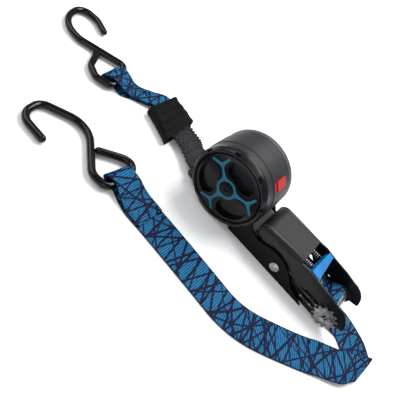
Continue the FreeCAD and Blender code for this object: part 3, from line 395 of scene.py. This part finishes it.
def mesh_piece(name, points, faces, material, body, uv=None, sharp=()):
    """One named mesh, smooth apart from its sharp faces, riding on a body."""
    mesh = bpy.data.meshes.new(name)
    mesh.from_pydata([tuple(p) for p in np.asarray(points, float) * MM], [], [tuple(f) for f in faces])
    mesh.polygons.foreach_set("use_smooth", [i not in sharp for i in range(len(mesh.polygons))])
    if uv is not None:
        layer = mesh.uv_layers.new(name="strip")
        corner = np.zeros(len(mesh.loops), np.int32)
        mesh.loops.foreach_get("vertex_index", corner)
        layer.data.foreach_set("uv", np.asarray(uv, float)[corner].ravel())
    mesh.materials.append(material)
    mesh.validate()
    piece = bpy.data.objects.new(name, mesh)
    bpy.context.scene.collection.objects.link(piece)
    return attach(piece, body)


def tube_faces(count, size, base=0):
    """Quads between count rings of size points each, and a flat face on both ends."""
    faces = [(base + i * size + j, base + i * size + (j + 1) % size,
              base + (i + 1) * size + (j + 1) % size, base + (i + 1) * size + j)
             for i in range(count - 1) for j in range(size)]
    last = base + (count - 1) * size
    return faces + [tuple(range(base + size - 1, base - 1, -1)), tuple(range(last, last + size))]


def smooth_rows(rows, step):
    """Rows of (left, right) edge points, joined by a smooth curve and spaced step apart."""
    rows = np.array(rows, float)
    middle = rows.mean(1)
    spans = np.linalg.norm(np.diff(middle, axis=0), axis=1)
    knots = np.concatenate(([0.0], np.cumsum(np.sqrt(spans))))
    pace = np.diff(knots)[:, None, None]
    slopes = np.diff(rows, axis=0) / pace
    tangents = np.concatenate((slopes[:1], (slopes[:-1] * pace[1:] + slopes[1:] * pace[:-1])
                               / (pace[1:] + pace[:-1]), slopes[-1:]))
    dense = []
    for i, long in enumerate(spans):
        s = np.linspace(0, 1, max(3, int(long / step * 6) + 2), endpoint=False)[:, None, None]
        dense.append(rows[i] * (2 * s ** 3 - 3 * s ** 2 + 1) + rows[i + 1] * (3 * s ** 2 - 2 * s ** 3)
                     + pace[i] * (tangents[i] * (s ** 3 - 2 * s ** 2 + s)
                                  + tangents[i + 1] * (s ** 3 - s ** 2)))
    dense = np.concatenate(dense + [rows[-1:]])
    along = np.concatenate(([0.0], np.cumsum(np.linalg.norm(np.diff(dense.mean(1), axis=0), axis=1))))
    even = np.linspace(0, along[-1], max(2, int(along[-1] / step) + 1))
    flat = dense.reshape(len(dense), 6)
    return np.stack([np.interp(even, along, flat[:, k]) for k in range(6)], 1).reshape(-1, 2, 3), even


def strip_frame(rows, step):
    """Centre, half-width vector, upward normal and distance along, for each row of a strip."""
    edges, along = smooth_rows(rows, step)
    centre, side = edges.mean(1), (edges[:, 1] - edges[:, 0]) / 2
    up = np.cross(np.gradient(centre, axis=0), side)
    up /= np.linalg.norm(up, axis=1)[:, None]
    return centre, side, up, along


def strip(name, rows, thick, body, step, columns, start):
    """A strap: a closed, flat ring of points swept along its rows, with rolled selvages. Its
    pattern begins start mm along the webbing."""
    centre, side, up, along = strip_frame(rows, step)
    u = -np.cos(np.linspace(0, math.pi, columns + 1))
    swell = thick / 2 * (1 - np.abs(u) ** 8) ** 0.5
    ring = np.concatenate((u, u[-2:0:-1]))
    lift = np.concatenate((swell, -swell[-2:0:-1]))
    points = centre[:, None] + side[:, None] * ring[:, None] + up[:, None] * lift[:, None]
    size, count = len(ring), len(along)
    faces = tube_faces(count, size)
    half = np.linalg.norm(side, axis=1)[:, None]
    full = np.where(half > WIDE / 2 - 0.1, half, WIDE / 2)
    uv = np.stack((ring * full, np.repeat(along[:, None] + start, size, 1)), -1).reshape(-1, 2) / 100
    return mesh_piece(name, points.reshape(-1, 3), faces, WEBBING, body, uv,
                      (len(faces) - 2, len(faces) - 1)), along[-1]


def across(x, y, z, heading, wide):
    """The two edge points of a strap that is centred at (x, y, z) and runs along heading."""
    angle = math.radians(heading)
    dx, dy = math.sin(angle) * wide / 2, -math.cos(angle) * wide / 2
    return ((x - dx, y - dy, z), (x + dx, y + dy, z))


def over_bar(bar, heading, edges):
    """Rows of a slack loop round a hook's bar. Each edge is (its place along the bar, how far it
    leans in at the fold, how far the fold stands past the bar)."""
    hug, slack = 4.5, 0.4       # distance from the bar's middle, and how much more over its top
    angle = math.radians(heading)
    rows = []
    for turn in range(-90, 131, 20):
        ahead, up = math.cos(math.radians(turn)), math.sin(math.radians(turn))
        row = []
        for side, lean, reach in edges:
            x, y = (reach if ahead > 0 else hug) * ahead, side + lean * max(0.0, ahead)
            row.append((bar[0] + x * math.cos(angle) - y * math.sin(angle),
                        bar[1] + x * math.sin(angle) + y * math.cos(angle),
                        BAR_HIGH + (hug + slack * max(0.0, up)) * up))
        rows.append(tuple(row))
    return rows


def on_spindle(radius, degrees):
    """The X and Z of a point on a circle round the spindle's axis."""
    angle = math.radians(degrees)
    return SPINDLE_X + radius * math.cos(angle), SPINDLE_Z + radius * math.sin(angle)


def level(line):
    """Rows of a full-width strap that lies square to X, from (X, Z) points."""
    return [((x, WIDE / 2, z), (x, -WIDE / 2, z)) for x, z in line]


def stitches(name, rows, lines, body):
    """Sewing thread on a strap: each line runs between two (across -1..1, distance along) points."""
    long, gap, thick, lifted, sides, half_wide = 2.1, 0.9, 0.55, 0.68, 6, 14.0
    centre, side, up, along = strip_frame(rows, 0.5)
    points, faces = [], []

    def spot(u, s):
        s = min(max(s, 0.0), along[-1])
        middle, beside, facing = (np.array([np.interp(s, along, part[:, k]) for k in range(3)])
                                  for part in (centre, side, up))
        facing = facing * (1 if facing[2] > 0 else -1)
        return middle + beside * u + facing * lifted, facing

    for (u0, s0), (u1, s1) in lines:
        length = math.hypot((u1 - u0) * half_wide, s1 - s0)
        count = max(1, int(length / (long + gap)))
        for k in range(count):
            a, b = (k + 0.12) / count, (k + 0.12 + long / (long + gap)) / count
            start, facing = spot(u0 + (u1 - u0) * a, s0 + (s1 - s0) * a)
            end, _ = spot(u0 + (u1 - u0) * b, s0 + (s1 - s0) * b)
            run = end - start
            beside = np.cross(run, facing)
            beside /= np.linalg.norm(beside)
            faces += tube_faces(5, sides, len(points))
            for share, fat in ((0.0, 0.35), (0.15, 0.85), (0.5, 1.0), (0.85, 0.85), (1.0, 0.35)):
                for turn in np.linspace(0, TURN, sides, endpoint=False):
                    out = beside * math.cos(turn) + facing * math.sin(turn) * 0.7
                    points.append(start + run * share + out * thick / 2 * fat)
    return mesh_piece(name, points, faces, THREAD, body)


# ---------------------------------------------------------------- webbing

WIDE, THICK, LOW = 32.0, 1.2, 0.7         # webbing, and the height of its middle when it lies on the floor
SPINDLE_X, SPINDLE_Z, REEL_Z = 140.0, 13.0, 38.0
LONG_BAR, SHORT_BAR, BAR_HIGH = (-67.0, -79.5), (-162.5, 2.0), 5.3
FOLD_OUT, FOLD_RISE = 0.8, 1.7            # the long strap's fold: bulge, and half its height

feed_line = [(10.0, 9.0), (30.0, 11.0), (60.0, 13.4), (78.8, 15.05), (92.0, 14.0), (101.0, 13.2), (119.0, 13.2),
             (126.0, 15.6), (131.0, 19.4), (135.0, 21.9), (139.0, 22.6)]
feed, feed_long = strip("webbing_feed_strap", level(feed_line), THICK, "frame", 0.8, 16, 230.0)
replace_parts(feed, "webbing_feed")

core_line = [on_spindle(7.7, d) for d in (136, 124, 112)]
core_line += [(139.3, 20.3), (140.0, 19.0), (140.0, 7.0), (140.7, 5.7)]
core_line += [on_spindle(7.7, d) for d in (292, 304, 316)]
core, core_long = strip("webbing_core_strap", level(core_line), THICK, "spindle", 0.5, 16, 365.0)
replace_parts(core, "webbing_core")

long_rows = level([(141.0, 3.2), (148.0, 2.4), (156.0, 1.0), (162.0, LOW)])
long_rows.append(((187.5, 7.4, LOW), (182.0, -29.4, LOW)))
for degrees in (0, 45, 90, 135, 180):
    out = FOLD_OUT * math.sin(math.radians(degrees))
    high = LOW + FOLD_RISE * (1 - math.cos(math.radians(degrees)))
    long_rows.append(((200.0 + out, -2.4, high), (194.5 + out, -38.0, high)))
long_rows.append(((173.0, -23.5, LOW + 2 * FOLD_RISE), (186.0, -51.5, LOW + 2 * FOLD_RISE)))
long_rows.append(across(158.0, -50.0, LOW + 1.2, 209, -WIDE))
for x, y, heading in ((146, -57.5, 208), (112, -76, 206), (98, -82.3, 201), (84, -86.2, 194), (70, -87.6, 184),
                      (56, -87, 179), (40, -86.2, 178), (0, -84.6, 178), (-22, -84, 180)):
    long_rows.append(across(x, y, LOW, heading, -WIDE))
long_rows += [across(-42.0, -83.8, LOW, 182, -31.5), across(-52.0, -82.4, LOW, 184, -30.0)]
long_rows += over_bar(LONG_BAR, 184.0, ((-12.0, 0.0, 5.6), (13.0, 0.0, 11.0)))
long_rows += [across(-56.5, -81.2, 7.4, 184, -28.5), across(-45.0, -82.8, 3.4, 183, -30.5),
              across(-24.0, -83.8, LOW + 1.5, 180, -31.0)]
long_web, long_long = strip("webbing_long_strap", long_rows, THICK, "frame", 0.9, 18, 0.0)
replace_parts(long_web, "webbing_long")
near, far = long_long - 28.0, long_long - 4.0
long_sewing = stitches("webbing_long_stitches", long_rows, [
    ((-0.8, near), (-0.8, far)), ((0.8, near), (0.8, far)), ((-0.8, near), (0.8, near)),
    ((-0.8, far), (0.8, far)), ((-0.8, near), (0.8, far)), ((0.8, near), (-0.8, far)),
    ((-0.8, near + 2), (0.8, near + 2)), ((-0.8, far - 2), (0.8, far - 2))], "frame")

short_rows = [across(-90.0, 18.6, 3.2, 170, 28.0), across(-106.0, 22.4, 3.2, 174, 28.0),
              across(-118.0, 25.6, 4.4, 192, 25.0), across(-129.0, 16.4, 3.0, 212, 20.5),
              across(-143.0, 7.6, LOW, 212, 20.5), across(-152.0, 2.8, LOW, 209, 25.0)]
short_rows += over_bar(SHORT_BAR, 208.0, ((11.5, -2.0, 15.0), (-14.5, 0.0, 5.0)))
short_rows += [across(-153.6, 4.6, 7.6, 209, 25.5), across(-143.0, 8.4, 4.0, 212, 20.5),
               across(-129.0, 17.2, 5.2, 212, 20.5), across(-118.5, 25.4, 6.5, 194, 23.5),
               across(-111.5, 24.2, 6.3, 180, 25.0)]
short_web, short_long = strip("webbing_short_strap", short_rows, THICK, "tail", 0.8, 18, 61.0)
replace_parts(short_web, "webbing_short")
near, far = short_long - 44.0, short_long - 32.0
short_sewing = stitches("webbing_short_stitches", short_rows, [
    ((-0.75, near), (-0.75, far)), ((0.75, near), (0.75, far)), ((-0.75, near), (0.75, near)),
    ((-0.75, far), (0.75, far)), ((-0.75, near), (0.75, far))], "tail")

ROLL_TURNS, ROLL_STEPS, ROLL_FIRST, ROLL_DEEP, ROLL_THICK = 17, 24, 9.9, 18.6, 0.9
roll_low, roll_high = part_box("webbing_roll")
roll_half = (roll_high.y - roll_low.y) / 2 / MM
roll_mid = (roll_high.y + roll_low.y) / 2 / MM
roll_rows = []
for step in range(ROLL_TURNS * ROLL_STEPS + 1):
    angle = TURN * step / ROLL_STEPS
    radius = ROLL_FIRST + ROLL_DEEP * step / (ROLL_TURNS * ROLL_STEPS)
    x, z = radius * math.cos(angle), REEL_Z + radius * math.sin(angle)
    roll_rows.append(((x, roll_mid + roll_half, z), (x, roll_mid - roll_half, z)))
roll, roll_long = strip("webbing_roll_strap", roll_rows, ROLL_THICK, "reel_spool", 3.0, 6, 400.0)
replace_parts(roll, "webbing_roll")


# ---------------------------------------------------------------- short tail

def tread_strap():
    """Rubber strap: saw-tooth edges, rows of raised blocks, and an eye round the anchor pin."""
    half, thick, raised, side_y = 15.25, 3.0, 0.85, 1.3
    pin_x, pin_z = -35.5, 9.0
    tooth, block_row, block_column = 3.9, 5.2, 5.0
    rows = [((x, y - half, z), (x, y + half, z)) for x, y, z in
            ((-39.1, side_y, 9.0), (-43.5, 2.4, 9.0), (-49.5, 4.6, 8.2))]
    rows += [across(x, y, z, 166.0, 2 * half) for x, y, z in
             ((-64.0, 12.4, 7.4), (-76.0, 15.2, 6.4), (-104.0, 21.8, 6.4))]
    centre, side, up, along = strip_frame(rows, 0.35)
    count, columns = len(along), 92
    across_mm = np.linspace(-half, half, columns + 1)
    u = across_mm / half
    s = along[:, None]

    # edges: teeth that cut in, from just past the eye
    teeth = np.abs(((s - 14.0) / tooth) % 1.0 - 0.5) * 2
    shrink = np.where(s > 13.0, 1 - 0.13 * np.clip(1.3 * teeth - 0.15, 0, 1), 1.0)

    # top: staggered blocks, a zig-zag band down the middle and a plain rim along each edge
    row_at, col_at = (s - 15.0) / block_row, np.broadcast_to(across_mm, (count, columns + 1))
    shifted = col_at / block_column + 0.5 * (np.floor(row_at) % 2)
    in_row, in_col = np.abs((row_at % 1.0) - 0.5), np.abs((shifted % 1.0) - 0.5)
    block = np.clip((0.34 - in_row) / 0.06, 0, 1) * np.clip((0.34 - in_col) / 0.06, 0, 1)
    band = np.abs(col_at + 4.5 * (np.abs((s / 10.4) % 1.0 - 0.5) * 2 - 0.5)) < 2.2
    block = np.where(band, 0.15, block) * np.clip((12.8 - np.abs(col_at)) / 0.8, 0, 1)
    block *= np.clip((s - 14.0) / 1.2, 0, 1)
    border = np.clip((np.abs(col_at) - 12.4) / 0.5, 0, 1)
    rounded = np.sqrt(np.clip(1 - np.abs(u) ** 22, 0, 1))
    top = (thick / 2 - raised + raised * np.maximum(block, border)) * rounded
    under = np.broadcast_to(-thick / 2 * rounded, (count, columns + 1))

    ring_u = np.concatenate((u, u[-2:0:-1]))
    lift = np.concatenate((top, under[:, -2:0:-1]), axis=1)
    upward = up * np.where(up[:, 2] > 0, 1, -1)[:, None]
    points = (centre[:, None] + side[:, None] * (ring_u * np.ones((count, 1)) * shrink)[..., None]
              + upward[:, None] * lift[..., None]).reshape(-1, 3)
    faces = tube_faces(count, len(ring_u))

    profile = [(2.35, -half + 0.4), (2.75, -half), (4.8, -half), (5.2, -half + 0.4), (5.2, half - 0.4),
               (4.8, half), (2.75, half), (2.35, half - 0.4)]
    base, turns, corners = len(points), 40, len(profile)
    eye = [(pin_x + r * math.cos(a), side_y + y, pin_z + r * math.sin(a))
           for a in np.linspace(0, TURN, turns, endpoint=False) for r, y in profile]
    for i in range(turns):
        this, after = base + i * corners, base + (i + 1) % turns * corners
        faces += [(this + j, this + (j + 1) % corners, after + (j + 1) % corners, after + j)
                  for j in range(corners)]
    return mesh_piece("tread_strap_rubber", np.concatenate((points, np.array(eye))), faces, RUBBER, "tail")


def keeper_sleeve():
    """Flattened fabric tube: bound ends, and creases and a dent along its top where it is pinched."""
    around, count, thick, clear = 120, 56, 1.3, 0.2
    # X, Y, width, height and lean in degrees: at the reel's end, in the middle, at the hook's end
    stops = np.array(((-79.5, 12.5, 50.0, 11.6, 6.0), (-98.0, 18.0, 47.0, 11.6, 3.0),
                      (-115.5, 22.5, 44.0, 11.0, 0.0)))
    points = []
    for inward in (0.0, thick):
        for share in np.linspace(0, 1, count):
            x, y, wide, tall, skew = (np.interp(share * 2, (0, 1, 2), stops[:, k]) for k in range(5))
            lean = math.radians(skew)
            hem = 0.45 * (abs(share - 0.5) > 0.40)
            for turn in np.linspace(0, TURN, around, endpoint=False):
                c, n = math.cos(turn), math.sin(turn)
                a = (wide / 2 - 0.5 + hem - inward) * math.copysign(abs(c) ** 0.30, c)
                b = (tall / 2 - 0.5 + hem - inward) * math.copysign(abs(n) ** 0.55, n)
                if n > 0:
                    crease = 0.5 * math.sin(7 * turn + 5 * share) + 0.35 * math.sin(23 * share + 3 * c)
                    b -= crease * math.sin(math.pi * share) * min(1.0, 4 * n)
                    b -= 0.45 * math.exp(-(c * 3) ** 2)
                points.append((x - a * math.sin(lean), y + a * math.cos(lean), clear + tall / 2 + b))

    def spot(layer, i, j):
        return (layer * count + i) * around + j % around

    faces = [(spot(0, i, j), spot(0, i + 1, j), spot(0, i + 1, j + 1), spot(0, i, j + 1))
             for i in range(count - 1) for j in range(around)]
    faces += [(spot(1, i, j + 1), spot(1, i + 1, j + 1), spot(1, i + 1, j), spot(1, i, j))
              for i in range(count - 1) for j in range(around)]
    for i, facing in ((0, 1), (count - 1, -1)):
        faces += [(spot(0, i, j), spot(0, i, j + 1), spot(1, i, j + 1), spot(1, i, j))[::facing]
                  for j in range(around)]
    return mesh_piece("keeper_sleeve_fabric", points, faces, FABRIC, "tail")


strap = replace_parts(tread_strap(), "tread_strap")
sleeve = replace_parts(keeper_sleeve(), "keeper_sleeve")


# ---------------------------------------------------------------- springs

def coils(node, starts, axis, long, radius, wire, turns, body):
    """Wire springs that stand for a CAD spring node. Wire is the
    radius of the wire."""
    ring, per_turn = 8, 28
    axis = np.array(axis) / np.linalg.norm(axis)
    first = np.cross(axis, (0.0, 1.0, 0.0))
    second = np.cross(axis, first)
    points, faces = [], []
    for start in starts:
        count = turns * per_turn + 1
        faces += tube_faces(count, ring, len(points))
        for k in range(count):
            angle, share = TURN * k / per_turn, k / count
            pitch = (long - 2 * wire) * (0.25 * (3 * share ** 2 - 2 * share ** 3) + 0.75 * share)
            out = first * math.cos(angle) + second * math.sin(angle)
            middle = np.array(start) + axis * (wire + pitch) + out * radius
            points += [middle + (out * math.cos(a) + axis * math.sin(a)) * wire
                       for a in np.linspace(0, TURN, ring, endpoint=False)]
    piece = mesh_piece(node + "_wire", points, faces, SPRING, body)
    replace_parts(piece, node)
    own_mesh(piece)


PRESS = math.radians(43.0)                # which way the button is pressed, above +X
PRESS_SEAT = 30.45                        # how far its spring starts from the reel's axis
coils("drive_pawl_springs", [(88.7, -8.0, 30.4), (88.7, 8.0, 30.4)], (1.0, 0.0, 0.0), long=11.9,
      radius=2.6, wire=0.5, turns=6, body="handle")
coils("lock_pawl_springs", [(97.6, -8.0, 10.1), (97.6, 8.0, 10.1)], (1.0, 0.0, 0.0), long=12.8,
      radius=1.7, wire=0.45, turns=7, body="frame")
coils("button_spring", [(PRESS_SEAT * math.cos(PRESS), -8.0, REEL_Z + PRESS_SEAT * math.sin(PRESS))],
      (math.cos(PRESS), 0.0, math.sin(PRESS)), long=2.7, radius=1.6, wire=0.3, turns=3,
      body="frame")


# ---------------------------------------------------------------- camera, lights and floor

def stand(name, data, **settings):
    """Put a camera or a light in the scene."""
    for key, value in settings.items():
        setattr(data, key, value)
    item = bpy.data.objects.new(name, data)
    bpy.context.scene.collection.objects.link(item)
    return item


right = Vector((0.670, 0.588, 0.453)).normalized()
ahead = Vector((-0.122, 0.689, -0.714))
ahead = (ahead - right * ahead.dot(right)).normalized()
upward = right.cross(ahead).normalized()
facing = Matrix((right, upward, -ahead)).transposed().to_4x4()
camera = stand("camera", bpy.data.cameras.new("camera"), lens=40.5, sensor_width=36.0, clip_start=0.01,
               clip_end=20.0)
camera.matrix_world = Matrix.Translation((0.0393, -0.3158, 0.3024)) @ facing
bpy.context.scene.camera = camera

# each light: where it stands, what it looks at, its two sizes and its power in watts
for name, place, target, wide, deep, watts in (
        ("top_light", (0.10, 0.55, 0.95), (0.0, 0.0, 0.0), 1.0, 0.6, 17.0),
        ("left_light", (-0.85, -0.15, 0.75), (0.0, 0.0, 0.0), 0.8, 0.8, 5.0),
        ("front_light", (0.30, -1.00, 0.70), (0.02, 0.0, 0.0), 0.9, 0.6, 3.5)):
    light = stand(name, bpy.data.lights.new(name, "AREA"), shape="RECTANGLE", size=wide, size_y=deep,
                  energy=watts)
    light.location = place
    light.rotation_euler = (Vector(target) - Vector(place)).to_track_quat("-Z", "Y").to_euler()

world = bpy.data.worlds.new("studio")
world.use_nodes = True
world.node_tree.nodes["Background"].inputs["Color"].default_value = (0.95, 0.97, 1.0, 1.0)
world.node_tree.nodes["Background"].inputs["Strength"].default_value = 0.38
bpy.context.scene.world = world
bpy.context.scene.view_settings.view_transform = "Standard"

floor_tree = Tree("floor_paper")
floor_white = floor_tree.ramp(floor_tree.noise(0.002, 4.0), (0.3, tint(243, 243, 244)),
                              (0.7, tint(247, 247, 247)))
floor_grain = floor_tree.bump(floor_tree.noise(0.5, 3.0), 0.02, 0.3)
floor_tree.finish(floor_white, 0.9, floor_grain, Specular_IOR_Level=0.1)
reach, under = 2.5, -0.0002
floor_mesh = bpy.data.meshes.new("floor")
floor_mesh.from_pydata([(-reach, -reach, under), (reach, -reach, under), (reach, reach, under),
                        (-reach, reach, under)], [], [(0, 1, 2, 3)])
floor_mesh.materials.append(floor_tree.material)
floor = bpy.data.objects.new("floor", floor_mesh)
bpy.context.scene.collection.objects.link(floor)
